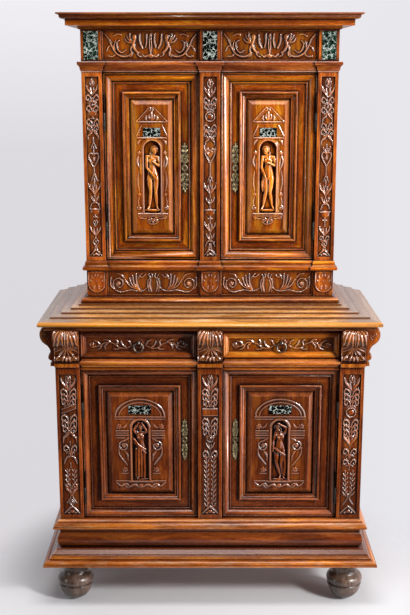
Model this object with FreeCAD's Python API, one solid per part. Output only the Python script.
"""Two-body walnut buffet of the French Renaissance kind, in millimetres.

The frame has its origin on the floor under the middle of the piece, +Z up, front towards -Y.
The left half is modelled and mirrored. Each tier oversails the case by the same amount at the
front and at the sides, and the back is one flat plane.
"""
import FreeCAD
import Part
import math
import os

V = FreeCAD.Vector

# Case sizes
lower_width = 1034.0
lower_depth = 462.0
upper_setback = 102.0

# Heights of the tiers, from the floor up
foot_height = 163.0
plinth_height = 50.0
torus_height = 61.0
cap_height = 45.0
lower_opening_height = 534.0
drawer_rail_height = 40.0
drawer_opening_height = 90.0
top_rail_height = 27.0
ledge_height = 54.0
upper_base_height = 21.0
lower_frieze_height = 90.0
sill_height = 31.0
upper_opening_height = 618.0
capital_height = 33.0
top_frieze_height = 100.0
cornice_height = 49.0

# How far each tier oversails its case
plinth_overhang = 58.0
torus_overhang = 12.0
cap_overhang = 24.0
ledge_overhang = 48.0
upper_base_overhang = 19.0
sill_overhang = 12.0
capital_overhang = 12.0
course_run_overhang = 6.0
cornice_overhang = 68.0

# How far each frame of mouldings reaches in under the case
plinth_seat = 60.0
case_seat = 40.0
ledge_seat = 30.0

# Posts, sides and boards
lower_pilaster_width = 82.0
upper_pilaster_width = 66.0
pilaster_border = 11.0
pilaster_sink = 5.0
pilaster_field_margin = 14.0
side_thickness = 30.0
side_post_width = 62.0
side_rail_height = 92.0
back_thickness = 12.0
back_board_count = 4
board_thickness = 20.0
shelf_thickness = 18.0
shelf_setback = 45.0
rail_recess = 5.0
frieze_border = 5.0
frieze_sink = 5.0
stop_clearance = 0.5
stop_thickness = 8.0
stop_width = 10.0

# Turned feet
foot_radius = 62.5
foot_inset = 99.0
tenon_radius = 12.0
tenon_length = 32.0
glue_clearance = 0.2

# Consoles under the ledge
console_height = 130.0
console_reach = 45.0
soffit_depth = 12.0
soffit_reach = 28.0

# Moulding under the drawers
rail_moulding_reach = 16.0
rail_moulding_height = 27.0

# Doors
door_recess = 10.0
door_gap = 2.5
hinge_side_gap = 2.5
free_side_gap = 3.5
door_frame_thickness = 24.0
outer_moulding_height = 20.0
upper_outer_width = 36.0
lower_outer_width = 29.0
upper_flat_width = 23.0
lower_flat_width = 26.0
inner_bead_width = 22.0
inner_bead_height = 12.0
inner_bead_seat = 10.0
panel_valley = 6.0
panel_thickness = 14.0
panel_tongue = 7.0
field_margin = 1.5
field_bevel = 18.0
field_height = 5.0
niche_width = 54.0
niche_depth = 10.0
upper_niche_height = 238.0
lower_niche_height = 218.0
upper_niche_rise = 56.0
lower_niche_rise = 32.0
plaque_height = 30.0
plaque_thickness = 5.5
plaque_pocket = 4.0
upper_plaque_width = 56.0
lower_plaque_width = 76.0
upper_plaque_drop = 76.0
lower_plaque_drop = 33.0

# Barrel hinges
hinge_barrel_radius = 4.0
hinge_length = 100.0
hinge_pin_radius = 2.2
hinge_pin_engage = 36.0
hinge_running_clearance = 0.05
hinge_knuckle_gap = 0.4
hinge_stile_clearance = 0.5
hinge_door_clearance = 1.0
hinge_leaf_thickness = 1.2
hinge_leaf_depth = 24.0
hinge_leaf_margin = 4.0
upper_hinge_inset = 78.0
lower_hinge_inset = 60.0

# Locks
lock_case_width = 72.0
lock_case_height = 86.0
lock_case_depth = 20.0
lock_case_setback = 5.0
bolt_length = 56.0
bolt_height = 16.0
bolt_thickness = 8.0
bolt_clearance = 0.3
bolt_stop_gap = 1.0
upper_lock_rise = 305.0
lower_lock_rise = 276.0
upper_escutcheon_height = 168.0
lower_escutcheon_height = 150.0
escutcheon_width = 22.0
escutcheon_thickness = 1.6
keyhole_radius = 2.8
keyhole_slot_width = 2.4
keyhole_slot_length = 10.0

# Drawers
drawer_gap = 2.0
runner_clearance = 0.3
drawer_front_recess = 14.0
drawer_front_thickness = 24.0
drawer_border_width = 20.0
drawer_border_height = 9.0
drawer_side_thickness = 12.0
drawer_side_height = 74.0
drawer_bottom_thickness = 8.0
drawer_bottom_rise = 6.0
drawer_back_gap = 22.0
guide_height = 24.0
pull_plate_radius = 11.0
pull_rim = 1.2
pull_dome = 3.2
pull_post_radius = 3.6
pull_ball_radius = 6.2
pull_post_length = 12.0
pull_rise = 9.0
ring_radius = 15.5
ring_wire_radius = 2.4
ring_clearance = 1.4

# Marble let into the top frieze
frieze_plaque_width = 46.0
frieze_plaque_margin = 6.0

# All cuts run past the faces they open by this much
overrun = 5.0

# Outlines as shares: how far out of the overhang, how far up the height.
# A row of four holds the middle and the end of an arc.
plinth_shares = [
    (1, 0), (1, 0.11), (0.96, 0.11), (0.88, 0.3, 0.68, 0.39), (0.66, 0.39), (0.66, 0.45), (0.52, 0.66),
    (0.49, 0.66), (0.49, 0.71), (0.28, 0.94), (0.24, 0.94), (0.24, 1),
]
torus_shares = [(0.1, 0), (0.1, 0.04), (1, 0.5, 0.1, 0.96), (0.1, 1)]
cap_shares = [
    (0.12, 0), (0.12, 0.27), (0.9, 0.31), (1, 0.36), (1, 0.44), (0.94, 0.46), (0.72, 0.64, 0.42, 0.76),
    (0.38, 0.76), (0.38, 0.86), (0.14, 0.95), (0.1, 1),
]
upper_base_shares = [(1, 0), (1, 0.38), (0.82, 0.68, 0.3, 0.78), (0.2, 0.84), (0.2, 1)]
sill_shares = [(0.8, 0), (1, 0.1), (1, 0.34), (0.42, 0.48, 0.36, 0.72), (0.36, 0.82), (0.12, 1)]
capital_shares = [
    (0.12, 0), (0.12, 0.14), (0.36, 0.2), (0.48, 0.5, 0.9, 0.66), (1, 0.7), (1, 0.94), (0.9, 1),
]
cornice_shares = [
    (0.08, 0), (0.12, 0.16, 0.5, 0.2), (0.62, 0.22), (0.62, 0.6), (0.7, 0.63),
    (0.83, 0.67, 0.86, 0.77), (0.89, 0.87, 0.95, 0.89), (1, 0.9), (1, 1),
]
rail_moulding_shares = [(0.46, 0), (0.62, 0.2), (1, 0.4, 0.86, 0.68), (0.6, 0.82), (0.55, 1)]
# The ledge: how far in along its run, how far up
ledge_shares = [
    (0.02, 0.06), (0, 0.2, 0.05, 0.34), (0.08, 0.34), (0.29, 0.44), (0.29, 0.53), (0.33, 0.53), (0.54, 0.6),
    (0.54, 0.69), (0.58, 0.69), (0.76, 0.75), (0.76, 0.86), (0.8, 0.86), (0.94, 0.9), (0.94, 1),
]
# Door mouldings: how far in across the width, how proud
outer_moulding_shares = [
    (0, 0), (0, 0.86), (0.065, 1, 0.13, 0.86), (0.14, 0.68), (0.2, 0.68), (0.2, 0.92),
    (0.52, 0.7, 0.74, 0.26), (0.76, 0.12), (0.8, 0.12), (0.87, 0.28, 0.94, 0.12), (0.95, 0.05),
    (1, 0.05), (1, 0),
]
inner_bead_shares = [
    (0, 0.2), (0.06, 0.2), (0.06, 0.5), (0.24, 1, 0.42, 0.68), (0.44, 0.48), (0.5, 0.48),
    (0.62, 0.26, 0.86, 0.2), (1, 0.2),
]
drawer_border_shares = [(0, 0), (0, 1), (0.24, 1), (0.32, 0.8), (0.6, 0.62, 0.78, 0.3), (1, 0.2), (1, 0)]
# The foot: radius, height
foot_shares = [
    (0.22, 0), (0.3, 0.03), (0.68, 0.13, 0.92, 0.34), (0.96, 0.36), (0.96, 0.38), (0.9, 0.4),
    (1, 0.48, 0.88, 0.59), (0.74, 0.63), (0.66, 0.7, 0.7, 0.8), (0.74, 0.84), (0.78, 0.9, 0.74, 0.95),
    (0.74, 1),
]
# The console in profile: how far out, how far up
console_shares = [
    (0.33, 0), (0.33, 0.09), (0.18, 0.1), (0.18, 0.16), (0.44, 0.23, 0.24, 0.31), (0.3, 0.44, 0.55, 0.57),
    (1, 0.82, 0.84, 0.98), (0.6, 1),
]
# The lock plate: discs along its height and their radii, in shares of height and width
escutcheon_disc_shares = [(0, 0.5), (0.13, 0.34), (0.23, 0.5), (0.34, 0.3), (0.41, 0.36), (0.47, 0.18)]
escutcheon_hole_shares = [(0.23, 0.24), (0.41, 0.16), (0.315, 0.1)]
escutcheon_spine_share = 0.3
# Finials on the hinges, as shares of the barrel's radius
finial_neck_share = 0.6
finial_ball_share = 0.8

# Heights that follow from the tiers
plinth_z = foot_height
torus_z = plinth_z + plinth_height
cap_z = torus_z + torus_height
lower_z = cap_z + cap_height
drawer_rail_z = lower_z + lower_opening_height
drawer_z = drawer_rail_z + drawer_rail_height
top_rail_z = drawer_z + drawer_opening_height
ledge_z = top_rail_z + top_rail_height
upper_base_z = ledge_z + ledge_height
lower_frieze_z = upper_base_z + upper_base_height
sill_z = lower_frieze_z + lower_frieze_height
upper_z = sill_z + sill_height
capital_z = upper_z + upper_opening_height
top_frieze_z = capital_z + capital_height
cornice_z = top_frieze_z + top_frieze_height
top_z = cornice_z + cornice_height

# Planes that follow from the case
lower_half = lower_width / 2
upper_half = lower_half - upper_setback
back = (lower_depth + plinth_overhang) / 2
lower_front = back - lower_depth
upper_front = lower_front + upper_setback
door_thickness = outer_moulding_height + door_frame_thickness
stile_depth = door_recess + door_thickness + stop_clearance + stop_thickness
inner_back = back - back_thickness
lower_inner = lower_half - side_thickness
upper_inner = upper_half - side_thickness
lower_opening = (-lower_half + lower_pilaster_width, -lower_pilaster_width / 2)
upper_opening = (-upper_half + upper_pilaster_width, -upper_pilaster_width / 2)


def box(x0, x1, y0, y1, z0, z1):
    return Part.makeBox(x1 - x0, y1 - y0, z1 - z0, V(x0, y0, z0))


def mirrored(shape):
    return shape.mirror(V(0, 0, 0), V(1, 0, 0))


def face_of(steps, place):
    """A face bounded by lines, and by arcs where a step holds a middle and an end point."""
    start = place(*steps[0])
    here = start
    edges = []
    for step in steps[1:]:
        end = place(*step[-2:])
        if len(step) == 4:
            edges.append(Part.Arc(here, place(*step[:2]), end).toShape())
        else:
            edges.append(Part.LineSegment(here, end).toShape())
        here = end
    edges.append(Part.LineSegment(here, start).toShape())
    return Part.Face(Part.Wire(edges))


def scaled(shares, a0, a_size, b0, b_size):
    """The steps of an outline from its shares of two sizes."""
    steps = []
    for row in shares:
        step = []
        for index in range(0, len(row), 2):
            step.append(a0 + row[index] * a_size)
            step.append(b0 + row[index + 1] * b_size)
        steps.append(tuple(step))
    return steps


def backed(contour, inner):
    """A contour from bottom to top, closed at a plane that lies this far inside the case."""
    return [(-inner, contour[0][1])] + contour + [(-inner, contour[-1][-1])]


def prism(points, axis, low, high):
    """A straight prism over a polygon of (a, b) points, along the named axis."""
    place = {"y": lambda a, b: V(a, low, b), "z": lambda a, b: V(a, b, low)}[axis]
    along = {"y": V(0, high - low, 0), "z": V(0, 0, high - low)}[axis]
    corners = [place(a, b) for a, b in points]
    return Part.Face(Part.makePolygon(corners + corners[:1])).extrude(along)


def case_moulding(contour, half, front, inner):
    """Front, left and right lengths of a moulding round a case, mitred at the front corners."""
    steps = backed(contour, inner)
    reach = max([inner] + [abs(a) for step in contour for a in step[0::2]]) + overrun
    ahead = front - reach
    side = half + reach
    run = face_of(steps, lambda o, z: V(-side, front - o, z)).extrude(V(2 * side, 0, 0))
    low = run.BoundBox.ZMin - overrun
    high = run.BoundBox.ZMax + overrun
    plan = [(-side, ahead), (side, ahead), (half - reach, front + reach), (reach - half, front + reach)]
    front_length = run.common(prism(plan, "z", low, high))
    run = face_of(steps, lambda o, z: V(-half - o, ahead, z)).extrude(V(0, back - ahead, 0))
    plan = [(-side, ahead), (reach - half, front + reach), (reach - half, back), (-side, back)]
    left_length = run.common(prism(plan, "z", low, high))
    return [front_length, left_length, mirrored(left_length)]


def returned_moulding(contour, x0, x1, wall):
    """One length of moulding on a wall, with ends that turn back to the wall."""
    reach = max(abs(a) for step in contour for a in step[0::2]) + overrun
    width = x1 - x0 + reach
    across = face_of(backed(contour, 0), lambda o, z: V(x0 - reach, wall - o, z))
    front_run = across.extrude(V(x1 - x0 + 2 * reach, 0, 0))
    sides = backed(contour, width)
    depth = V(0, reach, 0)
    left_end = face_of(sides, lambda o, z: V(x0 - o, wall - reach, z)).extrude(depth)
    right_end = face_of(sides, lambda o, z: V(x1 + o, wall - reach, z)).extrude(depth)
    return front_run.common(left_end).common(right_end)


def frame_moulding(contour, x0, x1, z0, z1, face):
    """Four mitred lengths round the inside of a rectangle; contour is (in, proud)."""
    reach = max(a for step in contour for a in step[0::2])
    bottom = face_of(contour, lambda a, p: V(x0, face - p, z0 + a)).extrude(V(x1 - x0, 0, 0))
    left = face_of(contour, lambda a, p: V(x0 + a, face - p, z0)).extrude(V(0, 0, z1 - z0))
    near = bottom.BoundBox.YMin - overrun
    far = bottom.BoundBox.YMax + overrun
    slab = [(x0, z0), (x1, z0), (x1 - reach, z0 + reach), (x0 + reach, z0 + reach)]
    bottom = bottom.common(prism(slab, "y", near, far))
    slab = [(x0, z0), (x0 + reach, z0 + reach), (x0 + reach, z1 - reach), (x0, z1)]
    left = left.common(prism(slab, "y", near, far))
    top = bottom.mirror(V(0, 0, (z0 + z1) / 2), V(0, 0, 1))
    right = left.mirror(V((x0 + x1) / 2, 0, 0), V(1, 0, 0))
    return [left, right, bottom, top]


def rectangle(x0, x1, z0, z1, y):
    return Part.makePolygon([V(x0, y, z0), V(x1, y, z0), V(x1, y, z1), V(x0, y, z1), V(x0, y, z0)])


def fielded_panel(x0, x1, z0, z1, valley, rise):
    """A panel that fills x0..x1 by z0..z1, with its tongues, and a bevelled raised field."""
    slab = box(x0 - panel_tongue, x1 + panel_tongue, valley, valley + panel_thickness,
               z0 - panel_tongue, z1 + panel_tongue)
    edge = inner_bead_width - inner_bead_seat + field_margin
    top = edge + field_bevel
    foot = rectangle(x0 + edge, x1 - edge, z0 + edge, z1 - edge, valley)
    head = rectangle(x0 + top, x1 - top, z0 + top, z1 - top, valley - rise)
    return slab.fuse(Part.makeLoft([foot, head], True, True))


def save(name, solids):
    shape = solids[0] if len(solids) == 1 else Part.makeCompound(solids)
    shape.exportStep("parts/%s.step" % name)


def feet():
    crown = foot_height + tenon_length
    outline = [(0, 0)] + scaled(foot_shares, 0, foot_radius, 0, foot_height)
    outline += [(tenon_radius, foot_height), (tenon_radius, crown), (0, crown)]
    foot = face_of(outline, lambda r, z: V(r, 0, z)).revolve(V(0, 0, 0), V(0, 0, 1), 360)
    solids = []
    for x, y in foot_places():
        one = foot.copy()
        one.translate(V(x, y, 0))
        solids.append(one)
    return solids


def foot_places():
    x = lower_half + plinth_overhang - foot_inset
    y = back - foot_inset
    return [(-x, -y), (x, -y), (-x, y), (x, y)]


def plinth():
    contour = scaled(plinth_shares, 0, plinth_overhang, plinth_z, plinth_height)
    solids = case_moulding(contour, lower_half, lower_front, plinth_seat)
    inner = lower_half - plinth_seat
    solids.append(box(-inner, inner, lower_front + plinth_seat, back, plinth_z, plinth_z + board_thickness))
    bore_radius = tenon_radius + glue_clearance
    bore_length = tenon_length + glue_clearance + overrun
    for x, y in foot_places():
        bore = Part.makeCylinder(bore_radius, bore_length, V(x, y, plinth_z - overrun))
        solids = [solid.cut(bore) for solid in solids]
    return solids


def torus_frieze():
    contour = scaled(torus_shares, 0, torus_overhang, torus_z, torus_height)
    solids = case_moulding(contour, lower_half, lower_front, case_seat)
    inner = lower_half - case_seat
    solids.append(box(-inner, inner, back - case_seat, back, torus_z, lower_z - board_thickness))
    return solids


def base_cap():
    contour = scaled(cap_shares, 0, cap_overhang, cap_z, cap_height)
    return case_moulding(contour, lower_half, lower_front, case_seat)


def lower_floor():
    inner = lower_half - case_seat
    return box(-inner, inner, lower_front + case_seat, back, lower_z - board_thickness, lower_z)


def upper_floor():
    near = upper_front + stile_depth
    return box(-upper_inner, upper_inner, near, inner_back, upper_z - board_thickness, upper_z)


def pilaster_sunk(post, x0, x1, front, z0, z1):
    """Sink a long field into the front of a post, for the carving."""
    return post.cut(box(x0 + pilaster_border, x1 - pilaster_border, front - overrun, front + pilaster_sink,
                        z0 + pilaster_field_margin, z1 - pilaster_field_margin))


def door_stops(x_edge, front, z0, z1):
    """The rebate behind a middle post that two doors close against, on one side."""
    near = front + stile_depth - stop_thickness
    return box(x_edge, x_edge + stop_width, near, front + stile_depth, z0, z1)


def posts(half, width, front, z0, z1, door_z0, door_z1):
    """Left, middle and right front posts with sunk fields."""
    left = box(-half, width - half, front, front + stile_depth, z0, z1)
    left = pilaster_sunk(left, -half, width - half, front, door_z0, door_z1)
    middle = box(-width / 2, width / 2, front, front + stile_depth, z0, z1)
    middle = pilaster_sunk(middle, -width / 2, width / 2, front, door_z0, door_z1)
    stop = door_stops(width / 2, front, door_z0, door_z1)
    middle = middle.fuse([stop, mirrored(stop)]).removeSplitter()
    return left, middle, mirrored(left)


def left_side(half, front, z0, z1):
    """A framed side behind the front post: rear post, two rails and a fielded panel."""
    y0 = front + stile_depth
    y1 = back - side_post_width
    x0 = -half
    x1 = side_thickness - half
    rear = box(x0, x1, y1, back, z0, z1)
    low = box(x0, x1, y0, y1, z0, z0 + side_rail_height)
    high = box(x0, x1, y0, y1, z1 - side_rail_height, z1)
    middle = (y0 + y1) / 2
    reach = (y1 - y0) / 2
    panel = fielded_panel(-reach, reach, z0 + side_rail_height, z1 - side_rail_height, 0, field_height)
    panel = panel.common(box(-reach, reach + panel_tongue, -side_thickness, side_thickness, z0, z1))
    panel.rotate(V(0, 0, 0), V(0, 0, 1), -90)
    panel = panel.mirror(V(0, 0, 0), V(0, 1, 0))
    panel.translate(V(x0 + field_height + panel_valley, middle, 0))
    return [part.cut(panel) for part in (rear, low, high)] + [panel]


def back_boards(inner, z0, z1):
    width = 2 * inner / back_board_count
    boards = []
    for index in range(back_board_count):
        x0 = -inner + index * width
        boards.append(box(x0, x0 + width, inner_back, back, z0, z1))
    return boards


def shelf(inner, front, level):
    near = front + stile_depth + shelf_setback
    return box(-inner, inner, near, inner_back, level, level + shelf_thickness)


def drawer_rail():
    """The rail under the drawers, its bolection moulding and the dust board with its guides."""
    x0, x1 = lower_opening
    wall = lower_front + rail_recess
    rail = box(x0, x1, wall, lower_front + stile_depth, drawer_rail_z, drawer_z)
    bottom = drawer_z - rail_moulding_height
    contour = scaled(rail_moulding_shares, 0, rail_moulding_reach, bottom, rail_moulding_height)
    inset = rail_moulding_reach
    moulding = returned_moulding(contour, x0 + inset, x1 - inset, wall)
    solids = [rail, moulding, mirrored(rail), mirrored(moulding)]
    y0 = lower_front + stile_depth
    solids.append(box(-lower_inner, lower_inner, y0, inner_back, drawer_z - shelf_thickness, drawer_z))
    side_guide = box(-lower_inner, x0, y0, inner_back, drawer_z, drawer_z + guide_height)
    middle_guide = box(x1, -x1, y0, inner_back, drawer_z, drawer_z + guide_height)
    return solids + [side_guide, middle_guide, mirrored(side_guide)]


def top_rails():
    x0, x1 = lower_opening
    rail = box(x0, x1, lower_front + rail_recess, lower_front + stile_depth, top_rail_z, ledge_z)
    return [rail, mirrored(rail)]


def console(width):
    """A scroll console facing the front, its back on y = 0, centred on x = 0."""
    bottom = ledge_z - soffit_depth - console_height
    contour = scaled(console_shares, 0, console_reach, bottom, console_height)
    outline = face_of(backed(contour, 0), lambda o, z: V(-width / 2, -o, z))
    return outline.extrude(V(width, 0, 0))


def consoles():
    """Left corner consoles, middle console, right corner consoles."""
    width = lower_pilaster_width
    middle = console(width)
    left = middle.copy()
    left.translate(V(width / 2 - lower_half, lower_front, 0))
    side = middle.copy()
    side.rotate(V(0, 0, 0), V(0, 0, 1), -90)
    side.translate(V(-lower_half, lower_front + width / 2, 0))
    middle.translate(V(0, lower_front, 0))
    return [left, side], [middle], [mirrored(left), mirrored(side)]


def ledge():
    """The stepped shelf between the two bodies: mitred mouldings and a board."""
    run = lower_half + ledge_overhang - upper_half - upper_base_overhang
    steps = scaled(ledge_shares, ledge_overhang, -run, ledge_z, ledge_height)
    under = ledge_z - soffit_depth
    soffit = [(0, ledge_z), (0, under), (soffit_reach, under), (soffit_reach, steps[0][1])]
    inner = run - ledge_overhang + ledge_seat
    solids = case_moulding(soffit + steps, lower_half, lower_front, inner)
    half = lower_half - inner
    board_z = upper_base_z - board_thickness
    solids.append(box(-half, half, lower_front + inner, back, board_z, upper_base_z))
    solids.append(box(-half, half, back - case_seat, back, ledge_z, board_z))
    return solids


def upper_base():
    contour = scaled(upper_base_shares, 0, upper_base_overhang, upper_base_z, upper_base_height)
    return case_moulding(contour, upper_half, upper_front, case_seat)


def frieze_rail(z0, z1, field_z0, field_z1):
    """The two rails of a frieze, each with a sunk field for carving."""
    x0, x1 = upper_opening
    wall = upper_front + rail_recess
    rail = box(x0, x1, wall, upper_front + stile_depth, z0, z1)
    field = box(x0 + frieze_border, x1 - frieze_border, wall - overrun, wall + frieze_sink,
                field_z0 + frieze_border, field_z1 - frieze_border)
    rail = rail.cut(field)
    return [rail, mirrored(rail)]


def course(shares, overhang, level, height):
    """A moulding that breaks forward over the three posts and returns along the sides."""
    contour = scaled(shares, 0, overhang, level, height)
    x0, x1 = upper_opening
    wall = upper_front + rail_recess
    left = returned_moulding(contour, -upper_half, x0, upper_front)
    middle = returned_moulding(contour, x1, -x1, upper_front)
    low = scaled(shares, 0, course_run_overhang + rail_recess, level, height)
    run = face_of(backed(low, 0), lambda o, z: V(x0, wall - o, z)).extrude(V(x1 - x0, 0, 0))
    run = run.cut([left, middle])
    side = face_of(backed(contour, 0), lambda o, z: V(-upper_half - o, upper_front, z))
    side = side.extrude(V(0, back - upper_front, 0))
    return [left, middle, mirrored(left), run, mirrored(run), side, mirrored(side)]


def frieze_plaques():
    """Three marble slips, proud of the posts by what their pockets leave."""
    near = upper_front + plaque_pocket - plaque_thickness
    z0 = top_frieze_z + frieze_plaque_margin
    z1 = cornice_z - frieze_plaque_margin
    half = frieze_plaque_width / 2
    slip = box(-half, half, near, upper_front + plaque_pocket, z0, z1)
    places = [upper_pilaster_width / 2 - upper_half, 0, upper_half - upper_pilaster_width / 2]
    slips = []
    for x in places:
        one = slip.copy()
        one.translate(V(x, 0, 0))
        slips.append(one)
    return slips


def cornice():
    contour = scaled(cornice_shares, 0, cornice_overhang, cornice_z, cornice_height)
    solids = case_moulding(contour, upper_half, upper_front, case_seat)
    inner = upper_half - case_seat
    board_z = top_z - board_thickness
    solids.append(box(-inner, inner, upper_front + case_seat, back, board_z, top_z))
    solids.append(box(-inner, inner, back - case_seat, back, cornice_z, board_z))
    return solids


def hinge_axis(opening, front):
    x = opening[0] + hinge_stile_clearance + hinge_barrel_radius
    y = front + door_recess - hinge_door_clearance - hinge_barrel_radius
    return x, y


def hinge(opening, front, bottom):
    """Fixed half with its pin, and the half that lifts off with the door."""
    x, y = hinge_axis(opening, front)
    middle = bottom + hinge_length / 2
    top = bottom + hinge_length
    ball = finial_ball_share * hinge_barrel_radius
    neck = finial_neck_share * hinge_barrel_radius
    half_length = middle - bottom
    fixed = Part.makeCylinder(hinge_barrel_radius, half_length, V(x, y, bottom))
    pin = Part.makeCylinder(hinge_pin_radius, half_length + hinge_pin_engage, V(x, y, bottom))
    leaf = box(opening[0], opening[0] + hinge_leaf_thickness, y, y + hinge_leaf_depth,
               bottom + hinge_leaf_margin, middle - hinge_leaf_margin)
    foot = Part.makeCylinder(neck, ball, V(x, y, bottom - ball))
    knob = Part.makeSphere(ball, V(x, y, bottom - 2 * ball))
    fixed = fixed.fuse([pin, leaf, foot, knob])
    start = middle + hinge_knuckle_gap
    loose = Part.makeCylinder(hinge_barrel_radius, top - start, V(x, y, start))
    bore = Part.makeCylinder(hinge_pin_radius + hinge_running_clearance,
                             hinge_pin_engage + hinge_knuckle_gap + overrun, V(x, y, middle - overrun))
    edge = opening[0] + hinge_side_gap
    leaf = box(edge - hinge_leaf_thickness, edge, y, y + hinge_leaf_depth,
               start + hinge_leaf_margin, top - hinge_leaf_margin)
    cap = Part.makeCylinder(neck, ball, V(x, y, top))
    knob = Part.makeSphere(ball, V(x, y, top + 2 * ball))
    loose = loose.fuse([leaf, cap, knob]).cut(bore)
    return fixed, loose


def escutcheon(x, face, z, height):
    """A pierced lock plate: a spine with discs along it, alike above and below the keyhole."""
    into = V(0, escutcheon_thickness, 0)
    front = face - escutcheon_thickness
    half_spine = escutcheon_spine_share * escutcheon_width / 2
    top_disc = escutcheon_disc_shares[-1][0] * height
    plate = box(x - half_spine, x + half_spine, front, face, z - top_disc, z + top_disc)
    discs = []
    holes = []
    for rows, kept in ((escutcheon_disc_shares, discs), (escutcheon_hole_shares, holes)):
        for place, radius in rows:
            for sign in (1, -1):
                centre = V(x, front, z + sign * place * height)
                kept.append(Part.makeCylinder(radius * escutcheon_width, escutcheon_thickness, centre, into))
    round_hole = Part.makeCylinder(keyhole_radius, escutcheon_thickness, V(x, front, z), into)
    slot_half = keyhole_slot_width / 2
    slot = box(x - slot_half, x + slot_half, front, face, z - keyhole_slot_length, z)
    return plate.fuse(discs).cut(holes + [round_hole, slot]).removeSplitter()


def lock(edge, door_back, z):
    """Lock case on the back of the door's free side, and the bolt that it holds."""
    x1 = edge - stop_width - lock_case_setback
    case = box(x1 - lock_case_width, x1, door_back, door_back + lock_case_depth,
               z - lock_case_height / 2, z + lock_case_height / 2)
    y0 = door_back + stop_clearance + stop_thickness + bolt_stop_gap
    half = bolt_height / 2
    bolt = box(x1 - bolt_length, x1, y0, y0 + bolt_thickness, z - half, z + half)
    room = box(x1 - bolt_length - bolt_clearance, x1 + overrun, y0 - bolt_clearance,
               y0 + bolt_thickness + bolt_clearance, z - half - bolt_clearance, z + half + bolt_clearance)
    return case.cut(room), bolt


def niche_cut(x, field, bottom, height):
    """A round-headed recess sunk into a field."""
    radius = niche_width / 2
    near = field - overrun
    depth = niche_depth + overrun
    body = box(x - radius, x + radius, near, field + niche_depth, bottom, bottom + height - radius)
    return body.fuse(Part.makeCylinder(radius, depth, V(x, near, bottom + height - radius), V(0, 1, 0)))


def left_door(opening, z0, z1, front, sizes):
    """Frame with mitred mouldings, panel with its niche, plaque, fittings, bolt and fixed hinges."""
    outer, flat, niche_height, niche_rise, plaque_width, plaque_drop = sizes[:6]
    hinge_inset, lock_rise, plate_height = sizes[6:]
    x0 = opening[0] + hinge_side_gap
    x1 = opening[1] - free_side_gap
    z0 = z0 + door_gap
    z1 = z1 - door_gap
    face = front + door_recess + outer_moulding_height
    rear = face + door_frame_thickness
    bar = outer + flat + inner_bead_seat
    px0, px1, pz0, pz1 = x0 + bar, x1 - bar, z0 + bar, z1 - bar
    valley = face + panel_valley
    panel = fielded_panel(px0, px1, pz0, pz1, valley, panel_valley + field_height)
    bars = [
        box(x0, px0, face, rear, z0, z1), box(px1, x1, face, rear, z0, z1),
        box(px0, px1, face, rear, z0, pz0), box(px0, px1, face, rear, pz1, z1),
    ]
    slab = box(px0 - panel_tongue, px1 + panel_tongue, valley, valley + panel_thickness,
               pz0 - panel_tongue, pz1 + panel_tongue)
    frame = [piece.cut(slab) for piece in bars]
    contour = scaled(outer_moulding_shares, 0, outer, 0, outer_moulding_height)
    frame += frame_moulding(contour, x0, x1, z0, z1, face)
    bead = scaled(inner_bead_shares, 0, inner_bead_width, 0, inner_bead_height)
    seat = [(inner_bead_width, -panel_valley), (inner_bead_seat, -panel_valley), (inner_bead_seat, 0), (0, 0)]
    inset = outer + flat
    frame += frame_moulding(bead + seat, x0 + inset, x1 - inset, z0 + inset, z1 - inset, face)

    edge = inner_bead_width - inner_bead_seat + field_margin + field_bevel
    field = face - field_height
    centre = (x0 + x1) / 2
    panel = panel.cut(niche_cut(centre, field, pz0 + edge + niche_rise, niche_height))
    top = pz1 - edge - plaque_drop
    half = plaque_width / 2
    seat = field + plaque_pocket
    plaque = box(centre - half, centre + half, seat - plaque_thickness, seat, top - plaque_height, top)
    panel = panel.cut(plaque)

    lock_z = z0 + lock_rise
    case, bolt = lock(opening[1], rear, lock_z)
    plate = escutcheon(x1 - outer - flat / 2, face, lock_z, plate_height)
    fixed = []
    loose = []
    for bottom in (z0 + hinge_inset, z1 - hinge_inset - hinge_length):
        post_half, door_half = hinge(opening, front, bottom)
        fixed.append(post_half)
        loose.append(door_half)
    return {"frame": frame, "panel": [panel], "plaque": [plaque], "fittings": [plate, case] + loose,
            "lock_bolt": [bolt]}, fixed


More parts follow.
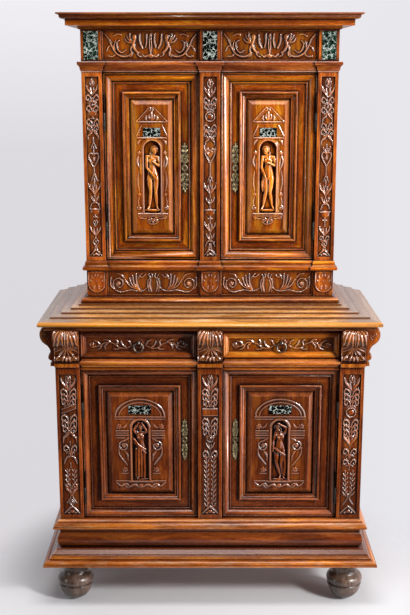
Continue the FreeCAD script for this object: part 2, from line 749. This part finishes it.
def left_drawer():
    """Front with a mitred border, box, pull plate and ring."""
    x0 = lower_opening[0] + drawer_gap
    x1 = lower_opening[1] - drawer_gap
    z0 = drawer_z + drawer_gap
    z1 = top_rail_z - drawer_gap
    face = lower_front + drawer_front_recess
    behind = face + drawer_front_thickness
    front = [box(x0, x1, face, behind, z0, z1)]
    contour = scaled(drawer_border_shares, 0, drawer_border_width, 0, drawer_border_height)
    front += frame_moulding(contour, x0, x1, z0, z1, face)

    floor = drawer_z + runner_clearance
    end = inner_back - drawer_back_gap
    side = drawer_side_thickness
    crown = floor + drawer_side_height
    bottom = floor + drawer_bottom_rise
    sides = [box(x0, x0 + side, behind, end, floor, crown), box(x1 - side, x1, behind, end, floor, crown)]
    rear = box(x0 + side, x1 - side, end - side, end, floor, crown)
    base = box(x0 + side, x1 - side, behind, end - side, bottom, bottom + drawer_bottom_thickness)

    x = (x0 + x1) / 2
    z = (z0 + z1) / 2 + pull_rise
    head = face - pull_post_length
    neck = pull_post_length - math.sqrt(pull_ball_radius ** 2 - pull_post_radius ** 2)
    profile = [
        (0, 0), (pull_plate_radius, 0), (pull_plate_radius, pull_rim), (pull_post_radius, pull_dome),
        (pull_post_radius, neck),
        (pull_ball_radius, pull_post_length, 0, pull_post_length + pull_ball_radius),
    ]
    turned = face_of(profile, lambda r, out: V(x + r, face - out, z))
    pull = turned.revolve(V(x, face, z), V(0, 1, 0), 360)
    eye = Part.makeCylinder(ring_wire_radius + ring_clearance, 2 * (pull_ball_radius + overrun),
                            V(x - pull_ball_radius - overrun, head, z), V(1, 0, 0))
    pull = pull.cut(eye)
    ring = Part.makeTorus(ring_radius, ring_wire_radius, V(x, head, z - ring_radius), V(0, 1, 0))
    return {"front": front, "box": sides + [rear, base], "pull_plate": [pull], "ring": [ring]}


def save_pair(left_name, right_name, solids):
    save(left_name, solids)
    save(right_name, [mirrored(solid) for solid in solids])


def main():
    os.makedirs("parts", exist_ok=True)
    save("bun_feet", feet())
    save("plinth", plinth())
    save("torus_frieze", torus_frieze())
    save("base_cap_moulding", base_cap())
    save("lower_floor_board", [lower_floor()])
    names = ("left", "middle", "right")
    lower_posts = posts(lower_half, lower_pilaster_width, lower_front, lower_z, ledge_z,
                        lower_z, drawer_rail_z)
    for name, post in zip(names, lower_posts):
        save("lower_pilaster_" + name, [post])
    save_pair("lower_left_side", "lower_right_side", left_side(lower_half, lower_front, lower_z, ledge_z))
    save("lower_back_boards", back_boards(lower_inner, lower_z, ledge_z))
    lower_shelf = shelf(lower_inner, lower_front, lower_z + lower_opening_height / 2)
    upper_shelf = shelf(upper_inner, upper_front, upper_z + upper_opening_height / 2)
    save("shelves", [lower_shelf, upper_shelf])
    save("drawer_rails", drawer_rail() + top_rails())
    for name, solids in zip(names, consoles()):
        save("console_" + name, solids)
    save("ledge", ledge())

    save("upper_base_moulding", upper_base())
    save("upper_floor_board", [upper_floor()])
    upper_posts = posts(upper_half, upper_pilaster_width, upper_front, lower_frieze_z, cornice_z,
                        upper_z, capital_z)
    slips = frieze_plaques()
    for name, post, slip in zip(names, upper_posts, slips):
        save("upper_pilaster_" + name, [post.cut(slip)])
    save("frieze_marble_plaques", slips)
    upper_side = left_side(upper_half, upper_front, lower_frieze_z, cornice_z)
    save_pair("upper_left_side", "upper_right_side", upper_side)
    save("upper_back_boards", back_boards(upper_inner, lower_frieze_z, cornice_z))
    save("lower_frieze", frieze_rail(lower_frieze_z, upper_z, lower_frieze_z, sill_z))
    save("top_frieze", frieze_rail(capital_z, cornice_z, top_frieze_z, cornice_z))
    save("sill_moulding", course(sill_shares, sill_overhang, sill_z, sill_height))
    save("capital_moulding", course(capital_shares, capital_overhang, capital_z, capital_height))
    save("cornice", cornice())

    upper_sizes = (upper_outer_width, upper_flat_width, upper_niche_height, upper_niche_rise,
                   upper_plaque_width, upper_plaque_drop, upper_hinge_inset, upper_lock_rise,
                   upper_escutcheon_height)
    lower_sizes = (lower_outer_width, lower_flat_width, lower_niche_height, lower_niche_rise,
                   lower_plaque_width, lower_plaque_drop, lower_hinge_inset, lower_lock_rise,
                   lower_escutcheon_height)
    tiers = (("upper", upper_opening, upper_z, capital_z, upper_front, upper_sizes),
             ("lower", lower_opening, lower_z, drawer_rail_z, lower_front, lower_sizes))
    pins = []
    for tier, opening, z0, z1, front, sizes in tiers:
        pieces, fixed = left_door(opening, z0, z1, front, sizes)
        pins += fixed + [mirrored(solid) for solid in fixed]
        for piece, solids in pieces.items():
            save_pair("%s_left_door_%s" % (tier, piece), "%s_right_door_%s" % (tier, piece), solids)
    save("hinge_pins", pins)
    for piece, solids in left_drawer().items():
        save_pair("left_drawer_" + piece, "right_drawer_" + piece, solids)


main()
